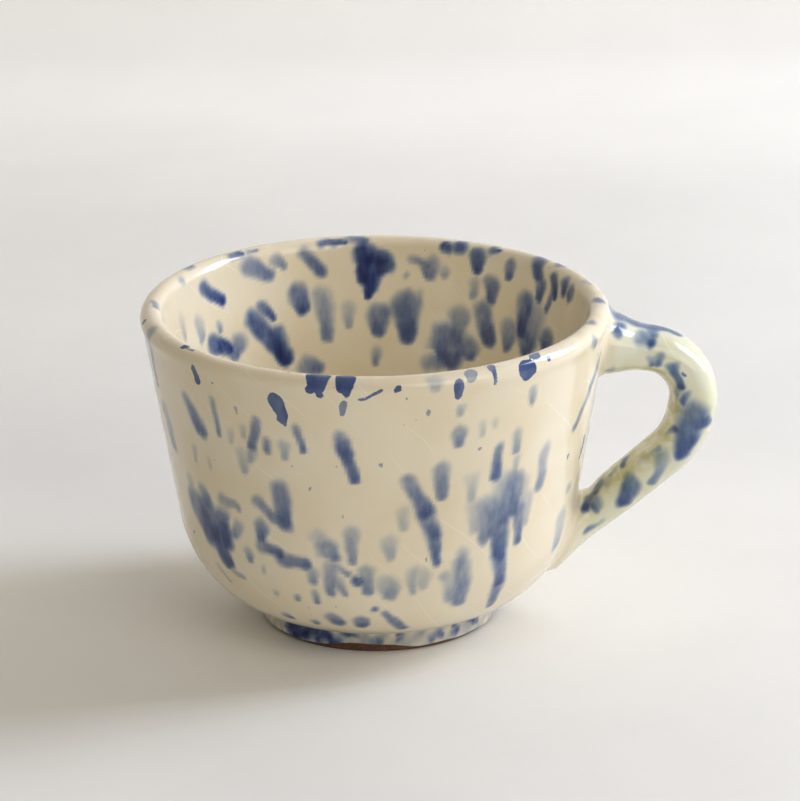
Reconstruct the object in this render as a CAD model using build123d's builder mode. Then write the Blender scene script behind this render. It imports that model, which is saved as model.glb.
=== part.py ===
"""A thrown and glazed mug with a rolled lip, a turned foot ring and a pulled handle.

Frame: millimetres, +Z up. The origin is on the axis of the bowl, in the plane of the foot.
The handle stands out along +X and lies in the XZ plane.
"""
from build123d import *
from math import atan2, copysign, cos, degrees, exp, pi, radians, sin, sqrt
import os

# ---- Driving dimensions ----------------------------------------------------------------

# Bowl, bare clay
lip_radius = 52.2  # axis to the crest of the lip
lip_height = 76.5  # foot plane to the crest of the lip
lip_roll = 2.2  # radius of the lip's round, in section
lip_overhang = 0.35  # how far the lip stands out from the side below it
lip_crease = 3.0  # radius of the hollow between the lip and the side
side_lean = 9.2  # degrees by which the outside leans out
side_base_height = 27.0  # where the straight side turns into the bowl
haunch_share = 0.476  # how far down the bowl's turn its two arcs meet
haunch_bulge = 4.16  # how far they stand out there from a straight line to the foot
foot_joint_radius = 28.0  # axis to the corner between the bowl and the foot
foot_joint_height = 5.4
inner_lean = 10.4  # degrees by which the inside of the wall leans out
inner_turn = 26.0  # radius between the inside wall and the floor
floor_height = 9.0  # foot plane to the inside floor

# Foot ring, turned when leather hard
foot_edge_radius = 27.4  # axis to the ring's outer edge
foot_ring_width = 5.0
foot_recess = 3.0  # depth of the hollow inside the ring
recess_slope = 1.2  # how far the hollow's side runs in over its depth
foot_edge_break = 0.4  # bevel on both edges of the ring

# Glaze and slip
glaze = 0.5  # thickness of every glaze coat
glaze_pool = 0.6  # extra glaze round the handle's roots
slip = 0.9  # thickness of the slip that joins the handle
bare_foot = 1.1  # unglazed band at the bottom of the foot

# Handle: its centre line, from the wall under the lip out, round and back to the bowl
upper_root_drop = 9.6  # crest of the lip down to where the centre line leaves the wall
handle_reach = 20.6  # upper root to the centre line's furthest point
crown_radius = 12.0  # turn from the upper arm to the grip
grip_radius = 20.0  # turn from the grip to the lower arm
grip_turn = 50.0  # degrees of that turn

# Handle: its oval section
handle_thickness = 8.7
handle_width = 13.6
crown_swell = 1.6  # thicker round the crown
crown_swell_length = 14.0
upper_flare = 3.4  # growth in thickness and width at the upper root
upper_flare_length = 5.5
tail_length = 15.6  # lower root, measured up and down the bowl
tail_lean = 21.0  # degrees by which the lower root's seat leans
tail_spread = 4.0  # growth in width at the lower root
tail_flare_length = 5.0
tail_turn_length = 11.0  # over which the sections turn to lie along the bowl
section_squareness = 2.3  # 2 is an ellipse, more is squarer
section_points = 8  # spans of half a section
section_spacing = 4.0

# ---- Outline of the bowl: points are (radius, height) ------------------------------------

# Half plane on the side away from the handle, so that no seam crosses the handle's roots
profile_plane = Plane((0, 0, 0), x_dir=(-1, 0, 0), z_dir=(0, 1, 0))


def heading(angle):
    return Vector(cos(radians(angle)), sin(radians(angle)))


def angle_of(vector):
    return degrees(atan2(vector.Y, vector.X))


def right_of(vector):
    return Vector(vector.Y, -vector.X)


def turn_to(start, direction, end):
    """Centre and radius of the arc that leaves start along direction, turns right and meets end."""
    chord = end - start
    radius = chord.length**2 / (2 * chord.dot(right_of(direction)))
    return start + right_of(direction) * radius, radius


def arc(centre, radius, start_angle, end_angle):
    return CenterArc(centre, radius, start_angle, end_angle - start_angle)


lip_centre = Vector(lip_radius, lip_height - lip_roll)

# Outside: lip, crease, straight side
side_normal = heading(-side_lean)
side_down = right_of(side_normal)
side_start = lip_centre + side_normal * (lip_roll - lip_overhang)
crease_run = sqrt(2 * lip_overhang * (lip_roll + lip_crease) - lip_overhang**2)
crease_centre = side_start + side_down * crease_run + side_normal * lip_crease
crease_angle = angle_of(crease_centre - lip_centre)
side_end = side_start + side_down * ((side_base_height - side_start.Y) / side_down.Y)

# Outside: two arcs that bring the side round to the foot
foot_joint = Vector(foot_joint_radius, foot_joint_height)
turn_chord = foot_joint - side_end
haunch = side_end + turn_chord * haunch_share - right_of(turn_chord).normalized() * haunch_bulge
upper_turn_centre, upper_turn = turn_to(side_end, side_down, haunch)
haunch_normal = (haunch - upper_turn_centre).normalized()
haunch_angle = angle_of(haunch_normal)
lower_turn_centre, lower_turn = turn_to(haunch, right_of(haunch_normal), foot_joint)
foot_joint_angle = angle_of(foot_joint - lower_turn_centre)

# Foot ring
foot_side = (Vector(foot_edge_radius, 0) - foot_joint).normalized()
foot_normal = Vector(-foot_side.Y, foot_side.X)
glaze_end = foot_joint + foot_side * ((bare_foot - foot_joint.Y) / foot_side.Y)
ring_inner_radius = foot_edge_radius - foot_ring_width

# Inside: straight wall, one turn, flat floor
inner_normal = heading(180 - inner_lean)
inner_start = lip_centre + inner_normal * lip_roll
inner_down = Vector(-inner_normal.Y, inner_normal.X)
inner_turn_height = floor_height + inner_turn * (1 - inner_normal.Y)
inner_end = inner_start + inner_down * ((inner_turn_height - inner_start.Y) / inner_down.Y)
inner_turn_centre = inner_end + inner_normal * inner_turn


def outside_line(gap):
    """From the crest of the lip down to the foot joint, held off the clay by gap."""
    arc(lip_centre, lip_roll + gap, 90, crease_angle)
    crease = arc(crease_centre, lip_crease - gap, crease_angle + 180, 180 - side_lean)
    Line(crease @ 1, side_end + side_normal * gap)
    arc(upper_turn_centre, upper_turn + gap, -side_lean, haunch_angle)
    return arc(lower_turn_centre, lower_turn + gap, haunch_angle, foot_joint_angle)


def inside_line(gap):
    """From the crest of the lip down to the middle of the floor, held off the clay by gap."""
    arc(lip_centre, lip_roll + gap, 90, 180 - inner_lean)
    Line(inner_start + inner_normal * gap, inner_end + inner_normal * gap)
    turn = arc(inner_turn_centre, inner_turn - gap, -inner_lean, -90)
    Line(turn @ 1, (0, floor_height + gap))


# ---- Centre line of the handle, in the same plane as the outline ---------------------------

# Each root sits on a flat seat that clears the bowl by the slip at its nearest point
upper_root_run = (lip_height - upper_root_drop - side_start.Y) / side_down.Y
upper_seat = side_start + side_down * upper_root_run + side_normal * slip
lower_seat_normal = heading(-tail_lean)
lower_seat = upper_turn_centre + lower_seat_normal * (upper_turn + slip)

crown_start_radius = upper_seat.X + handle_reach - crown_radius * (1 + side_normal.Y)
crown_start = upper_seat + side_normal * ((crown_start_radius - upper_seat.X) / side_normal.X)
with BuildLine() as centre_line:
    upper_arm = Line(upper_seat, crown_start)
    crown = JernArc(upper_arm @ 1, upper_arm % 1, crown_radius, side_lean - 90)
    grip = JernArc(crown @ 1, crown % 1, grip_radius, -grip_turn)
    to_seat = (lower_seat - grip @ 1).dot(lower_seat_normal) / (grip % 1).dot(lower_seat_normal)
    lower_arm = Line(grip @ 1, grip @ 1 + (grip % 1) * to_seat)
path = centre_line.wires()[0]
furthest = upper_arm.length + crown.length

# ---- The handle, bare or with a coat on it ---------------------------------------------------


def near(distance, length):
    """1 at a root, fading to 0 along the arm."""
    return exp(-((distance / length) ** 2))


def handle_section(distance, coat, pool):
    """Plane, width and thickness of the section at a distance along the centre line."""
    upper = near(distance, upper_flare_length)
    lower = near(path.length - distance, tail_flare_length)
    swell = crown_swell * near(distance - furthest, crown_swell_length)
    grow = 2 * (coat + pool * (upper + lower))
    width = handle_width + upper_flare * upper + tail_spread * lower + grow
    thickness = handle_thickness + swell + upper_flare * upper + grow
    thickness += (tail_length - handle_thickness) * lower

    centre = path @ (distance / path.length)
    along = angle_of(path % (distance / path.length))
    seat_turn = -180 - tail_lean - along
    across = heading(along + seat_turn * near(path.length - distance, tail_turn_length))
    plane = Plane((centre.X, 0, centre.Y), x_dir=(0, 1, 0), z_dir=(across.X, 0, across.Y))
    return plane, width, thickness


def half_oval(width, thickness):
    """Points along half of the squared oval, from one end of its width to the other."""
    points = []
    for i in range(section_points + 1):
        angle = pi * i / section_points
        across = copysign(abs(cos(angle)) ** (2 / section_squareness), cos(angle))
        points.append((across * width / 2, sin(angle) ** (2 / section_squareness) * thickness / 2))
    return points


def draw_section(distance, coat, pool):
    plane, width, thickness = handle_section(distance, coat, pool)
    with BuildSketch(plane) as section:
        with BuildLine():
            Spline(*half_oval(width, thickness), tangents=((0, 1), (0, -1)))
            Spline(*half_oval(-width, -thickness), tangents=((0, -1), (0, 1)))
        make_face()
    return section.sketch


def whole_arm(coat, pool):
    """The handle from seat to seat."""
    steps = round(path.length / section_spacing)
    sections = [draw_section(path.length * i / steps, coat, pool) for i in range(steps + 1)]
    with BuildPart() as arm:
        loft(sections)
    return arm.part


def coat_on_arm():
    """The space between the bare arm and the coated one, closed by a ring at each seat."""
    skins = []
    for arm in (bare_arm, glazed_arm):
        skins += arm.faces().filter_by(GeomType.BSPLINE)
    ends = glazed_arm.faces().filter_by(GeomType.PLANE)
    holes = bare_arm.faces().filter_by(GeomType.PLANE)
    for end, hole in zip(ends.sort_by(Axis.Z), holes.sort_by(Axis.Z)):
        skins.append(end.make_holes([hole.outer_wire()]))
    return Solid(Shell(skins))


def plug(distance, coat, pool, direction):
    """The handle's end, run straight on into the wall."""
    with BuildPart() as run_on:
        extrude(draw_section(distance, coat, pool), amount=root_depth, dir=direction)
    return run_on.part


def root(filling):
    """The part of a plug that lies between the seat and the bare wall."""
    with BuildPart() as trimmed:
        add(filling)
        add(bare_bowl, mode=Mode.SUBTRACT)
    return trimmed.part


with BuildPart() as filled_bowl:
    with BuildSketch(profile_plane):
        with BuildLine():
            outside_line(0)
            Polyline(foot_joint, (0, foot_joint.Y), (0, lip_height), (lip_radius, lip_height))
        make_face()
    revolve(axis=Axis.Z)
bare_bowl = filled_bowl.part

root_depth = lip_roll + tail_length / 2
into_upper_wall = (-side_normal.X, 0, -side_normal.Y)
into_lower_wall = (-lower_seat_normal.X, 0, -lower_seat_normal.Y)
bare_arm = whole_arm(0, 0)
glazed_arm = whole_arm(glaze, glaze_pool)
upper_root = root(plug(0, 0, 0, into_upper_wall))
lower_root = root(plug(path.length, 0, 0, into_lower_wall))
glazed_upper_plug = plug(0, glaze, glaze_pool, into_upper_wall)
glazed_lower_plug = plug(path.length, glaze, glaze_pool, into_lower_wall)

# ---- Clay ------------------------------------------------------------------------------------

with BuildPart() as clay_body:
    with BuildSketch(profile_plane):
        with BuildLine():
            outside_line(0)
            Polyline(
                foot_joint,
                foot_joint + foot_side * ((foot_edge_break - foot_joint.Y) / foot_side.Y),
                (foot_edge_radius - foot_edge_break, 0),
                (ring_inner_radius + foot_edge_break, 0),
                (ring_inner_radius, foot_edge_break),
                (ring_inner_radius - recess_slope, foot_recess),
                (0, foot_recess),
                (0, floor_height),
            )
            inside_line(0)
        make_face()
    revolve(axis=Axis.Z)
clay_body.part.label = "clay_body"

with BuildPart() as clay_handle:
    add(bare_arm)
clay_handle.part.label = "clay_handle"

# ---- Slip: fills the space between each seat and the wall ----------------------------------------

with BuildPart() as upper_slip_joint:
    add(upper_root)
upper_slip_joint.part.label = "upper_slip_joint"

with BuildPart() as lower_slip_joint:
    add(lower_root)
lower_slip_joint.part.label = "lower_slip_joint"

# ---- Glaze -------------------------------------------------------------------------------------

with BuildPart() as outer_glaze:
    with BuildSketch(profile_plane):
        with BuildLine():
            coat_end = outside_line(glaze)
            Line(coat_end @ 1, foot_joint)
            outside_line(0)
            Line((lip_radius, lip_height), (lip_radius, lip_height + glaze))
        make_face()
        with BuildLine():
            Polyline(
                foot_joint,
                foot_joint + foot_normal * glaze,
                glaze_end + foot_normal * glaze,
                glaze_end,
                close=True,
            )
        make_face()
    revolve(axis=Axis.Z)
    add([glazed_upper_plug, glazed_lower_plug], mode=Mode.SUBTRACT)
outer_glaze.part.label = "outer_glaze"

with BuildPart() as inner_glaze:
    with BuildSketch(profile_plane):
        with BuildLine():
            inside_line(glaze)
            Line((0, floor_height + glaze), (0, floor_height))
            inside_line(0)
            Line((lip_radius, lip_height), (lip_radius, lip_height + glaze))
        make_face()
    revolve(axis=Axis.Z)
inner_glaze.part.label = "inner_glaze"

with BuildPart() as handle_glaze:
    add(coat_on_arm())
    add([root(glazed_upper_plug), root(glazed_lower_plug)])
    add([upper_root, lower_root], mode=Mode.SUBTRACT)
handle_glaze.part.label = "handle_glaze"

# ---- Write one STEP file for each piece ----------------------------------------------------------

os.makedirs("parts", exist_ok=True)
pieces = [
    clay_body,
    clay_handle,
    upper_slip_joint,
    lower_slip_joint,
    outer_glaze,
    inner_glaze,
    handle_glaze,
]
for piece in pieces:
    export_step(piece.part, f"parts/{piece.part.label}.step")
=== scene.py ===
"""A glazed mug with cobalt splashes, on a pale floor.

The mug is worked out in millimetres, as in the CAD, and made in metres. The camera, the floor and the
lamps are placed in metres.
"""
import math

import bpy
import numpy as np
from mathutils import Matrix, Vector


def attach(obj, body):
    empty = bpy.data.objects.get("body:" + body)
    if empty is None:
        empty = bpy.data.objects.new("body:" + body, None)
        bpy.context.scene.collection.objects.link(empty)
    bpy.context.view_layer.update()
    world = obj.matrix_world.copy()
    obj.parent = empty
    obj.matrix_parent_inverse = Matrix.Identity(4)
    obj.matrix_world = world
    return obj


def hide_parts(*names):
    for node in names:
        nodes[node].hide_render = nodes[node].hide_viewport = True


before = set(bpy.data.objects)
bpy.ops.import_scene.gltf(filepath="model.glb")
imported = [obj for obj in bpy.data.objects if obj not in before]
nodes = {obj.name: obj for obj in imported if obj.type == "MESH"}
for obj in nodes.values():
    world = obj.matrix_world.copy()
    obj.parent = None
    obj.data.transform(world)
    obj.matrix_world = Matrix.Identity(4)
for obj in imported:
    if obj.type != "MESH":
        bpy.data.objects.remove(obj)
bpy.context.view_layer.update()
MM = 0.001

# ---- Camera ----------------------------------------------------------------------------

VIEW_DISTANCE = 1.0
VIEW_TILT = math.radians(19.48)
VIEW_ROLL = math.radians(0.76)
LENS = 191.6

aim = Vector((0.00557, 0, 0.05218))
back = Vector((0, -math.cos(VIEW_TILT), math.sin(VIEW_TILT)))
level = Vector((1, 0, 0))
upright = back.cross(level)
right = level * math.cos(VIEW_ROLL) - upright * math.sin(VIEW_ROLL)
up = level * math.sin(VIEW_ROLL) + upright * math.cos(VIEW_ROLL)
camera = bpy.data.objects.new("camera", bpy.data.cameras.new("camera"))
bpy.context.scene.collection.objects.link(camera)
facing = Matrix((right, up, back)).transposed().to_4x4()
camera.matrix_world = Matrix.Translation(aim + back * VIEW_DISTANCE) @ facing
camera.data.lens = LENS
camera.data.clip_start = 0.05
bpy.context.scene.camera = camera

# ---- Outline of the bowl, on the same sizes as the CAD: (radius, height) ----------------

lip_radius, lip_height, lip_roll = 52.2, 76.5, 2.2
lip_overhang, lip_crease = 0.35, 3.0
side_lean, side_base_height = 9.2, 27.0
haunch_share, haunch_bulge = 0.476, 4.16
foot_joint = np.array((28.0, 5.4))
foot_edge_radius = 27.4
inner_lean, inner_turn, floor_height = 10.4, 26.0, 9.0
glaze, glaze_pool, slip = 0.5, 0.6, 0.9
bare_foot = 1.1


def heading(degrees):
    return np.array((math.cos(math.radians(degrees)), math.sin(math.radians(degrees))))


def angle_of(vector):
    return math.degrees(math.atan2(vector[1], vector[0]))


def right_of(vector):
    return np.array((vector[1], -vector[0]))


def turn_to(start, direction, end):
    """Centre and radius of the arc that leaves start along direction, turns right and meets end."""
    chord = end - start
    radius = chord @ chord / (2 * chord @ right_of(direction))
    return start + right_of(direction) * radius, radius


def arc(centre, radius, start, end, step=0.5):
    """Points along an arc, from angle start to angle end."""
    count = max(3, int(abs(math.radians(end - start)) * radius / step) + 1)
    angles = np.radians(np.linspace(start, end, count))
    return centre + radius * np.stack([np.cos(angles), np.sin(angles)], -1)


lip_centre = np.array((lip_radius, lip_height - lip_roll))
side_normal = heading(-side_lean)
side_down = right_of(side_normal)
side_start = lip_centre + side_normal * (lip_roll - lip_overhang)
crease_run = math.sqrt(2 * lip_overhang * (lip_roll + lip_crease) - lip_overhang**2)
crease_centre = side_start + side_down * crease_run + side_normal * lip_crease
crease_angle = angle_of(crease_centre - lip_centre)
side_end = side_start + side_down * ((side_base_height - side_start[1]) / side_down[1])
turn_chord = foot_joint - side_end
haunch = side_end + turn_chord * haunch_share
haunch = haunch - right_of(turn_chord) / np.linalg.norm(turn_chord) * haunch_bulge
upper_turn_centre, upper_turn = turn_to(side_end, side_down, haunch)
haunch_normal = (haunch - upper_turn_centre) / upper_turn
lower_turn_centre, lower_turn = turn_to(haunch, right_of(haunch_normal), foot_joint)
foot_joint_angle = angle_of(foot_joint - lower_turn_centre)
foot_side = np.array((foot_edge_radius, 0)) - foot_joint
foot_side /= np.linalg.norm(foot_side)
foot_normal = -right_of(foot_side)
inner_normal = heading(180 - inner_lean)
inner_down = -right_of(inner_normal)
inner_start = lip_centre + inner_normal * lip_roll
inner_end = inner_start + inner_down * (
    (floor_height + inner_turn * (1 - inner_normal[1]) - inner_start[1]) / inner_down[1]
)
inner_turn_centre = inner_end + inner_normal * inner_turn


def outside(gap):
    """From the crest of the lip down to the foot joint, held off the clay by gap."""
    haunch_angle = angle_of(haunch_normal)
    crease = arc(crease_centre, lip_crease - gap, crease_angle + 180, 180 - side_lean)
    return np.concatenate([
        arc(lip_centre, lip_roll + gap, 90, crease_angle),
        crease,
        np.linspace(crease[-1], side_end + side_normal * gap, 100)[1:-1],
        arc(upper_turn_centre, upper_turn + gap, -side_lean, haunch_angle),
        arc(lower_turn_centre, lower_turn + gap, haunch_angle, foot_joint_angle)[1:],
    ])


def inside(gap):
    """From the crest of the lip down to the middle of the floor, held off the clay by gap."""
    start = inner_start + inner_normal * gap
    turn = arc(inner_turn_centre, inner_turn - gap, -inner_lean, -90)
    return np.concatenate([
        arc(lip_centre, lip_roll + gap, 90, 180 - inner_lean),
        np.linspace(start, turn[0], 80)[1:-1],
        turn,
        np.linspace(turn[-1], (0.4, floor_height + gap), 30)[1:],
    ])


def respace(points, step, ease=0):
    """The same line with even steps. ease rounds its corners over that length first."""
    length = np.concatenate([[0], np.cumsum(np.linalg.norm(np.diff(points, axis=0), axis=1))])
    count = int(round(length[-1] / step)) + 1
    at = np.linspace(0, length[-1], count)
    line = np.stack([np.interp(at, length, points[:, i]) for i in (0, 1)], -1)
    if ease:
        half = int(round(ease / step))
        kernel = np.hanning(2 * half + 3)[1:-1]
        kernel /= kernel.sum()
        padded = np.concatenate([2 * line[0] - line[half:0:-1], line, 2 * line[-1] - line[-2:-half - 2:-1]])
        line = np.stack([np.convolve(padded[:, i], kernel, "valid") for i in (0, 1)], -1)
    return line


# ---- What the thrower's hands leave: the bowl is a little out of round -------------------


def smooth(value, low, high):
    """0 up to low, 1 from high, and an even S between them."""
    t = np.clip((value - low) / (high - low), 0, 1)
    return t * t * (3 - 2 * t)


# How far the pot is drawn in and down, so that its bumps stay inside the CAD's box
INWARD = 0.23
DOWNWARD = 0.48


def wobble(points):
    """Points in millimetres, moved as the whole pot is out of true. Nothing moves at the foot."""
    x, y, z = points.T
    turn = np.arctan2(y, x)
    radius = np.hypot(x, y)
    rise = smooth(z, 4, 40)
    out = -INWARD + 0.14 * np.cos(2 * turn + 0.6) + 0.08 * np.cos(3 * turn - 1.0)
    # Throwing ridges, 8.5 mm apart, that climb as they go round
    out += 0.05 * np.sin(2 * math.pi * z / 8.5 + 1.3 * turn) * smooth(z, 8, 20) * (1 - smooth(z, 60, 70))
    out = out * rise * smooth(radius, 0, 20)
    lift = -DOWNWARD + 0.35 * np.cos(turn - 2.4) + 0.12 * np.cos(2 * turn + 1.0)
    lift = lift * smooth(z, 30, 76)
    scale = out / np.maximum(radius, 1)
    return np.stack([x * (1 + scale), y * (1 + scale), z + lift], -1)


def ripple(points, wavelength, seed):
    """A smooth random value in about -1 to 1 at each point, for edges that no tool has drawn."""
    dice = np.random.default_rng(seed)
    total = np.zeros(len(points))
    for _ in range(10):
        way = dice.normal(size=3)
        way *= 2 * math.pi / (wavelength * dice.uniform(0.7, 1.6) * np.linalg.norm(way))
        total += np.sin(points @ way + dice.uniform(0, 2 * math.pi))
    return total / 4.5  # twice the spread of the sum


# ---- Cobalt splashes ---------------------------------------------------------------------
#
# Placed one by one, but for six by the handle's lower root: their places were worked out first,
# then rounded and shifted.
# A splash runs from one end to another: azimuth and height there and there, width
# there and there, how much cobalt it holds, how soft its edge is. Degrees and millimetres; azimuth
# 0 is the handle and -90 the front. Heights over the crest of the lip carry on down its other side.

CRISP_EDGE = 0.4  # a splash no softer than this has a sharp edge
LEAST_SOFT = 0.55  # the sharpest that a soft edge gets, so that the mesh can carry it
FAR = -4.0  # distance to the nearest sharp splash where there is none near
INK_POWER = 1.2  # makes faint splashes fainter still
OUTSIDE_INK, INSIDE_INK, HANDLE_INK = 0.56, 0.8, 0.7  # how strongly each table's cobalt shows

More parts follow.
